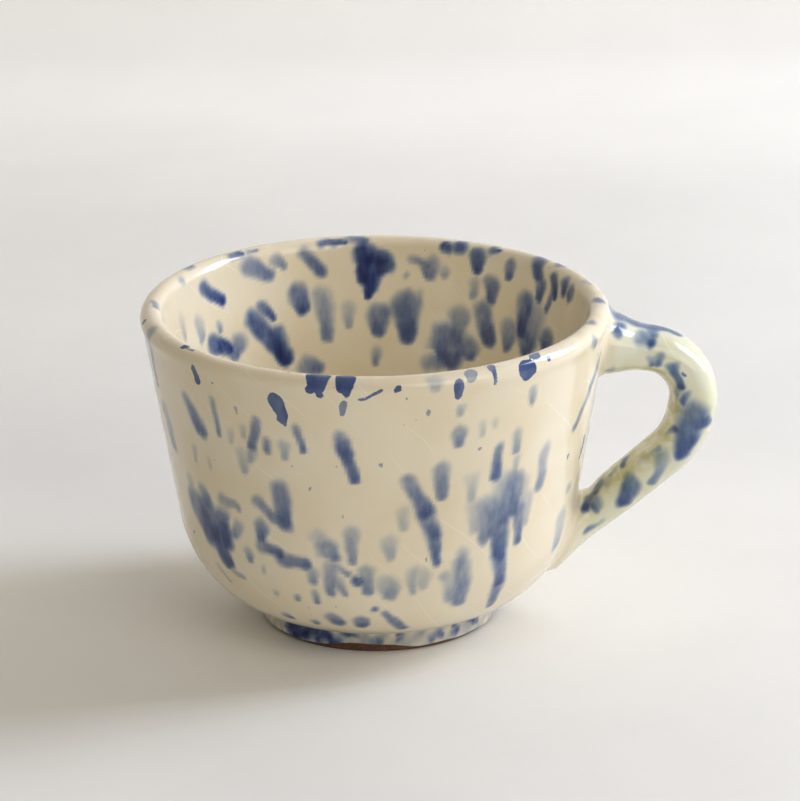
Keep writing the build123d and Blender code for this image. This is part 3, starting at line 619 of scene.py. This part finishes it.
def arm_points(distance, turn):
    """Points on the glazed handle. distance runs from seat to seat, and past both into the wall."""
    free = np.clip(distance, 0, arm_length)
    at, along = centre_line(distance)
    upper, lower = near(free, upper_flare_length), near(arm_length - free, tail_flare_length)
    grow = 2 * (glaze + glaze_pool * (upper + lower))
    width = handle_width + upper_flare * upper + tail_spread * lower + grow
    thick = handle_thickness + crown_swell * near(free - furthest, crown_swell_length)
    thick = thick + upper_flare * upper
    thick = thick + (tail_length - handle_thickness) * lower + grow
    seat_turn = -180 - tail_lean - along
    across = np.radians(along + seat_turn * near(arm_length - free, tail_turn_length))
    power = 2 / section_squareness
    cosine, sine = np.cos(turn), np.sin(turn)
    aside = np.sign(cosine) * np.abs(cosine) ** power * width / 2
    outward = np.sign(sine) * np.abs(sine) ** power * thick / 2
    # Pulling leaves two faint ridges along the inner edges of the grip
    around = np.degrees(turn) % 360
    ridge = sum(near(around - middle, ridge_width) for middle in ridge_turns)
    ridge = 1 + ridge_swell * ridge * smooth(free, 14, 24) * (1 - smooth(free, 52, 64))
    aside, outward = aside * ridge, outward * ridge
    x, z = at[:, 0] - np.sin(across) * outward, at[:, 1] + np.cos(across) * outward
    into_upper, into_lower = np.insert(side_normal, 1, 0), np.insert(lower_seat_normal, 1, 0)
    before = np.minimum(distance, 0)[:, None] * into_upper
    after = np.maximum(distance - arm_length, 0)[:, None] * into_lower
    return np.stack([x, aside, z], -1) + before - after


wall_line = outside(glaze)


def wall_gap(points):
    """How far each point stands off the glazed wall, and the wall's normal there."""
    flat = np.stack([np.hypot(points[:, 0], points[:, 1]), points[:, 2]], -1)
    starts, run = wall_line[:-1], np.diff(wall_line, axis=0)
    along = ((flat[:, None] - starts) * run).sum(-1) / (run**2).sum(-1)
    away = flat[:, None] - (starts + np.clip(along, 0, 1)[..., None] * run)
    best = np.argmin((away**2).sum(-1), 1)
    away = away[np.arange(len(flat)), best]
    out = np.stack([-run[best, 1], run[best, 0]], -1)
    out /= np.linalg.norm(out, axis=-1, keepdims=True)
    gap = np.linalg.norm(away, axis=-1) * np.sign((away * out).sum(-1))
    side = points[:, :2] / flat[:, :1]
    return gap, np.stack([side[:, 0] * out[:, 0], side[:, 1] * out[:, 0], out[:, 1]], -1)


AROUND = 128  # columns round the strap
RINGS = 200  # rows along it, between the fillets
FILLET_RINGS = 11
LAST_GAP, LAST_SPREAD = -0.15, 0.3  # one more ring, just under the wall's surface
section_turn = np.linspace(0, 2 * math.pi, AROUND, endpoint=False)


def fillet(radius):
    """Each ring of a fillet: its gap off the wall, and how far it has spread."""
    turn = np.linspace(0, math.pi / 2, FILLET_RINGS)
    gaps = np.append(radius * (1 - np.sin(turn)), LAST_GAP)
    return gaps, np.append(radius * (1 - np.cos(turn)), radius + LAST_SPREAD)


def meeting(distances, radius):
    """Where on the arm each ring of its fillet starts, for each column. distances run out of the wall."""
    target = np.maximum(fillet(radius)[0], 0)
    grid, turns = np.meshgrid(distances, section_turn, indexing="ij")
    gap = wall_gap(arm_points(grid.ravel(), turns.ravel()))[0].reshape(grid.shape)
    gap = np.maximum.accumulate(gap, 0)
    return np.stack([np.interp(target, gap[:, i], distances) for i in range(AROUND)], -1)


def rooted(distances, radius, wipe):
    """The fillet's rings, from the arm down to just under the wall's surface. wipe draws out its low side."""
    rings = []
    low_side = smooth(np.sin(section_turn), 0.1, 1)[:, None]
    shares = np.linspace(0, 1, len(distances))
    for ring, gap, out, share in zip(distances, *fillet(radius), shares):
        base = arm_points(ring, section_turn)
        ahead = arm_points(ring, section_turn + 0.01) - arm_points(ring, section_turn - 0.01)
        normal = wall_gap(base)[1]
        spread = np.cross(normal, ahead)
        spread /= np.linalg.norm(spread, axis=-1, keepdims=True)
        middle = base - base.mean(0)
        spread *= np.sign((spread * middle).sum(-1, keepdims=True))
        point = base + spread * (out + (wipe * share - out) * low_side * (wipe > 0))
        # Three steps settle the ring at its gap off the wall
        for _ in range(3):
            here, normal = wall_gap(point)
            point = point + normal * (gap - here)[:, None]
        rings.append(point)
    return np.array(rings)


top_rings = meeting(np.linspace(-8, 6, 90), root_fillet)
tail_rings = meeting(np.linspace(arm_length + 10, arm_length - 12, 140), tail_fillet)
shares = np.linspace(0, 1, RINGS)[1:-1, None]
between = top_rings[0] + (tail_rings[0] - top_rings[0]) * shares
arm = arm_points(between.ravel(), np.tile(section_turn, len(shares))).reshape(len(shares), AROUND, 3)
top, tail = rooted(top_rings, root_fillet, 0), rooted(tail_rings, tail_fillet, tail_wipe)
arm = np.concatenate([top[::-1], arm, tail])
arm = wobble(arm.reshape(-1, 3)).reshape(arm.shape)
arm_normals = -grid_normals(arm)
arm = arm[:, ::-1]
arm_normals = arm_normals[:, ::-1]
handle_glaze = grid_object("glaze_handle", arm, arm_normals)
paint(handle_glaze, **handle_layers(arm.reshape(-1, 3), HANDLE, HANDLE_INK))
# Painted shade: the strap's glaze is a darker olive along its inner side, which faces the mug. It takes the
# bowl's cream at both roots
ring = np.arange(len(arm))[:, None]
root_share = 1 - smooth(np.minimum(ring, len(arm) - 1 - ring), 2, 22)
inner_side = smooth(-np.sin(section_turn[::-1]), -0.1, 0.8)
paint(handle_glaze, rim=inner_shade * inner_side * (1 - root_share), root=root_share + 0 * inner_side)
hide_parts("handle_glaze")

# The clay and the slip, moved as the glaze over them is


def drawn_in(points, share):
    """Points of the handle, moved towards its centre line, where its glaze hides them."""
    middle = centre_line(np.linspace(0, arm_length, 150))[0]
    nearest = np.argmin(((points[:, None, ::2] - middle) ** 2).sum(-1), 1)
    centre = np.insert(middle[nearest], 1, 0, axis=1)
    return centre + (points - centre) * share


clay_names = ("clay_body", "clay_handle", "upper_slip_joint", "lower_slip_joint")
for name in clay_names:
    mesh = nodes[name].data.copy()
    points = np.empty(len(mesh.vertices) * 3, dtype=np.float32)
    mesh.vertices.foreach_get("co", points)
    points = points.reshape(-1, 3) / MM
    if name != "clay_body":
        points = drawn_in(points, clay_share)
    mesh.vertices.foreach_set("co", (wobble(points) * MM).astype(np.float32).ravel())
    mesh.update()
    obj = bpy.data.objects.new("thrown_" + name, mesh)
    bpy.context.scene.collection.objects.link(obj)
    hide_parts(name)
    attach(obj, "root")

# ---- Materials -----------------------------------------------------------------------------


class Graph:
    """The nodes of one material. Each method adds a node and gives back its output."""

    def __init__(self, name):
        self.material = bpy.data.materials.new(name)
        self.material.use_nodes = True
        self.tree = self.material.node_tree
        self.shader = self.tree.nodes["Principled BSDF"]
        self.place = self.add("ShaderNodeTexCoord").outputs["Object"]

    def add(self, kind, inputs=(), **settings):
        node = self.tree.nodes.new(kind)
        for key, value in settings.items():
            setattr(node, key, value)
        for key, value in dict(inputs).items():
            self.feed(node.inputs[key], value)
        return node

    def feed(self, socket, value):
        if isinstance(value, bpy.types.NodeSocket):
            self.tree.links.new(value, socket)
        else:
            socket.default_value = value

    def maths(self, operation, *values):
        node = self.add("ShaderNodeMath", enumerate(values), operation=operation)
        return node.outputs[0]

    def layer(self, name):
        return self.add("ShaderNodeAttribute", attribute_name=name).outputs["Fac"]

    def noise(self, size, detail=2, stretch=(1, 1, 1)):
        """Noise of about the size in millimetres, in 0 to 1, drawn out along an axis by stretch."""
        scale = [1 / (MM * size * pull) for pull in stretch]
        place = self.add("ShaderNodeMapping", {"Vector": self.place, "Scale": scale}).outputs[0]
        node = self.add("ShaderNodeTexNoise", {"Vector": place, "Scale": 1, "Detail": detail})
        return node.outputs["Fac"]

    def ease(self, value, low, high, start=0.0, end=1.0):
        node = self.add("ShaderNodeMapRange", {"Value": value, 1: low, 2: high, 3: start, 4: end})
        node.interpolation_type = "SMOOTHSTEP"
        return node.outputs[0]

    def mix(self, share, first, second, blend="MIX"):
        node = self.add("ShaderNodeMix", data_type="RGBA", blend_type=blend)
        self.feed(node.inputs["Factor"], share)
        self.feed(node.inputs[6], first)
        self.feed(node.inputs[7], second)
        return node.outputs[2]

    def bump(self, height, strength, distance):
        node = self.add("ShaderNodeBump", {"Height": height, "Strength": strength, "Distance": distance * MM})
        return node.outputs[0]


def colour(red, green, blue):
    return (red, green, blue, 1)


# What is left of white light after it has gone through glaze with cobalt in it
COBALT = (0.027, 0.060, 0.30)
ROOT_CREAM = (0.77, 0.68, 0.50)
CRAZING_COLOUR = (0.92, 0.9, 0.82)
PINHOLE_COLOUR = (0.12, 0.06, 0.03)
CRAZING_WAY = (0.75, 0.1, 0.65)  # across the lines
CRAZING_GAP = 9 * MM
PINHOLE_GAP = 7 * MM


def glaze_material(name, pale, warm, tinge_and_shade_colour):
    """A glossy glaze in two shades, with the tinge and the cobalt that the layers of its mesh give.
    On the bowl the tinge is the tan of thin glaze along the lip; on the handle it is olive painted shade.
    """
    graph = Graph(name)
    cloud = graph.noise(14, detail=3)
    base = graph.mix(graph.ease(cloud, 0.35, 0.7), colour(*pale), colour(*warm))
    patch = graph.ease(graph.noise(5, stretch=(1, 1, 0.5)), 0.3, 0.65)
    # On the handle this tinge is painted shade, olive along the inner side that faces the mug
    tinge_and_shade_share = graph.maths("MULTIPLY", graph.layer("rim"), patch)
    base = graph.mix(graph.maths("MULTIPLY", tinge_and_shade_share, 0.4), base, colour(*tinge_and_shade_colour))
    base = graph.mix(graph.layer("root"), base, colour(*ROOT_CREAM))

    # Crazing: fine lines that slant down to the right, and come and go
    way = graph.add("ShaderNodeVectorMath", {0: graph.place, 1: CRAZING_WAY}, operation="DOT_PRODUCT")
    wander = graph.maths("MULTIPLY", graph.noise(45, detail=1), 3.2)
    across = graph.maths("MULTIPLY_ADD", way.outputs["Value"], 1 / CRAZING_GAP, wander)
    off = graph.maths("ABSOLUTE", graph.maths("SUBTRACT", graph.maths("FRACT", across), 0.5))
    shown = graph.ease(graph.noise(18, detail=1), 0.47, 0.6)
    line = graph.maths("MULTIPLY", graph.ease(off, 0.004, 0.016, 1, 0), shown)
    base = graph.mix(graph.maths("MULTIPLY", line, 0.4), base, colour(*CRAZING_COLOUR))

    # Cobalt: soft splashes run down in streaks, sharp ones have a ragged edge and a cloudy middle
    streak = graph.noise(0.9, detail=3, stretch=(1, 1, 5))
    blot = graph.noise(3.2, detail=2, stretch=(1, 1, 1.6))
    fine = graph.noise(0.45, detail=2)
    uneven = graph.maths("ADD", graph.maths("MULTIPLY", streak, 0.5), graph.maths("MULTIPLY", blot, 1.1))
    uneven = graph.maths("ADD", uneven, 0.25)
    ink = graph.maths("MULTIPLY", graph.layer("ink"), uneven)
    ragged = graph.maths("ADD", graph.layer("crisp"), graph.maths("MULTIPLY_ADD", fine, 0.3, -0.15))
    sharp = graph.maths("MULTIPLY", graph.ease(ragged, -0.12, 0.12), graph.layer("crisp_ink"))
    sharp = graph.maths("MULTIPLY", sharp, graph.maths("ADD", graph.maths("MULTIPLY", blot, 1.2), 0.75))
    ink = graph.maths("MAXIMUM", ink, sharp)
    left = [graph.maths("POWER", share, ink) for share in COBALT]
    stain = graph.add("ShaderNodeCombineColor", enumerate(left)).outputs[0]
    stained = graph.mix(1, base, stain, "MULTIPLY")

    # Pinholes
    pin = graph.add("ShaderNodeTexVoronoi", {"Vector": graph.place, "Scale": 1 / PINHOLE_GAP})
    hole = graph.ease(pin.outputs["Distance"], 0.012, 0.024, 1, 0)
    stained = graph.mix(graph.maths("MULTIPLY", hole, 0.7), stained, colour(*PINHOLE_COLOUR))

    graph.feed(graph.shader.inputs["Base Color"], stained)
    graph.feed(graph.shader.inputs["Roughness"], graph.ease(cloud, 0.3, 0.7, 0.09, 0.15))
    graph.shader.inputs["IOR"].default_value = 1.5
    swell = graph.maths("ADD", graph.noise(7, detail=2), graph.maths("MULTIPLY", graph.noise(1.6), 0.15))
    graph.feed(graph.shader.inputs["Normal"], graph.bump(swell, 0.35, 0.25))
    return graph.material


def clay_material(name, pale, dark):
    """Fired clay where no glaze covers it: rough, with grit and the marks of turning."""
    graph = Graph(name)
    grit = graph.noise(0.5, detail=4)
    turned = graph.noise(1.1, stretch=(30, 30, 1))
    tone = graph.maths("ADD", graph.maths("MULTIPLY", grit, 0.7), graph.maths("MULTIPLY", turned, 0.3))
    base = graph.mix(graph.ease(tone, 0.35, 0.65), colour(*dark), colour(*pale))
    graph.feed(graph.shader.inputs["Base Color"], base)
    graph.shader.inputs["Roughness"].default_value = 0.85
    graph.feed(graph.shader.inputs["Normal"], graph.bump(tone, 0.8, 0.3))
    return graph.material


def floor_material(name, pale, dull):
    """Pale plaster with the faintest clouds in it, and a painted glow that makes it a little brighter towards
    the back.
    """
    graph = Graph(name)
    tone = graph.ease(graph.noise(90, detail=4), 0.3, 0.7)
    graph.feed(graph.shader.inputs["Base Color"], graph.mix(tone, colour(*dull), colour(*pale)))
    graph.shader.inputs["Roughness"].default_value = 0.6
    graph.feed(graph.shader.inputs["Normal"], graph.bump(graph.noise(4, detail=4), 0.15, 0.4))
    # Painted light: the far floor and the wall glow a little towards the back, where there is no lamp
    depth = graph.add("ShaderNodeSeparateXYZ", {"Vector": graph.place}).outputs["Y"]
    graph.shader.inputs["Emission Color"].default_value = colour(1, 0.985, 0.96)
    graph.feed(graph.shader.inputs["Emission Strength"], graph.ease(depth, 0.3, 0.48, 0, 0.14))

    # Clear to the camera from behind, so that the mug shows from every side
    looked_at = graph.add("ShaderNodeLightPath").outputs["Is Camera Ray"]
    from_behind = graph.add("ShaderNodeNewGeometry").outputs["Backfacing"]
    clear = graph.add("ShaderNodeBsdfTransparent").outputs[0]
    share = graph.maths("MULTIPLY", looked_at, from_behind)
    mixed = graph.add("ShaderNodeMixShader", {0: share, 1: graph.shader.outputs[0], 2: clear}).outputs[0]
    graph.feed(graph.tree.nodes["Material Output"].inputs["Surface"], mixed)
    return graph.material


body_glaze = glaze_material("cream_glaze", (0.78, 0.70, 0.53), (0.76, 0.66, 0.47), (0.62, 0.46, 0.3))
# The handle's third colour is the olive of its painted shade along the inner side
arm_glaze = glaze_material("handle_glaze", (0.71, 0.71, 0.56), (0.68, 0.66, 0.46), (0.49, 0.46, 0.21))
clay = clay_material("red_clay", (0.17, 0.075, 0.04), (0.07, 0.03, 0.018))
slip_clay = clay_material("slip", (0.15, 0.07, 0.04), (0.06, 0.03, 0.02))
materials = {"glaze_outside": body_glaze, "glaze_inside": body_glaze, "glaze_handle": arm_glaze}
for name in clay_names:
    materials["thrown_" + name] = slip_clay if "slip" in name else clay
for name, material in materials.items():
    mesh = bpy.data.objects[name].data
    mesh.materials.clear()
    mesh.materials.append(material)

# ---- Floor, backdrop and light --------------------------------------------------------------

# (y, z) in metres, from the front of the floor to the top of the wall behind
BACKDROP = [
    (-1.6, 0), (0.0, 0), (0.40, 0), (0.445, 0.002), (0.47, 0.012), (0.482, 0.04), (0.484, 0.09), (0.484, 0.9)
]
BACKDROP_HALF_WIDTH = 1.6
UNDER_FOOT = 0.0001

mesh = bpy.data.meshes.new("floor")
sides = (-BACKDROP_HALF_WIDTH, BACKDROP_HALF_WIDTH)
verts = [(x, y, z - UNDER_FOOT) for y, z in BACKDROP for x in sides]
mesh.from_pydata(verts, [], [(2 * i, 2 * i + 1, 2 * i + 3, 2 * i + 2) for i in range(len(BACKDROP) - 1)])
mesh.update()
floor = bpy.data.objects.new("floor", mesh)
bpy.context.scene.collection.objects.link(floor)
mesh.polygons.foreach_set("use_smooth", [True] * len(mesh.polygons))
floor.data.materials.append(floor_material("plaster", (0.84, 0.82, 0.77), (0.80, 0.78, 0.735)))

world = bpy.data.worlds.new("world")
bpy.context.scene.world = world
world.use_nodes = True
world.node_tree.nodes["Background"].inputs["Color"].default_value = (1.0, 0.935, 0.83, 1)
world.node_tree.nodes["Background"].inputs["Strength"].default_value = 0.35


LAMP_SIDE = 0.9
LIT_POINT = Vector((0, 0, 0.04))


def lamp(name, position, watts, tint):
    """A square soft lamp, turned to the middle of the mug."""
    data = bpy.data.lights.new(name, "AREA")
    data.shape = "RECTANGLE"
    data.size = data.size_y = LAMP_SIDE
    data.energy = watts
    data.color = tint
    obj = bpy.data.objects.new(name, data)
    bpy.context.scene.collection.objects.link(obj)
    obj.location = position
    obj.rotation_euler = (LIT_POINT - Vector(position)).to_track_quat("-Z", "Y").to_euler()


lamp("window", (1.1, 0.5, 0.70), 31, (0.91, 0.98, 1.17))
lamp("room", (0.75, -1.0, 0.7), 6, (1.0, 0.98, 0.94))

bpy.context.scene.view_settings.view_transform = "Standard"
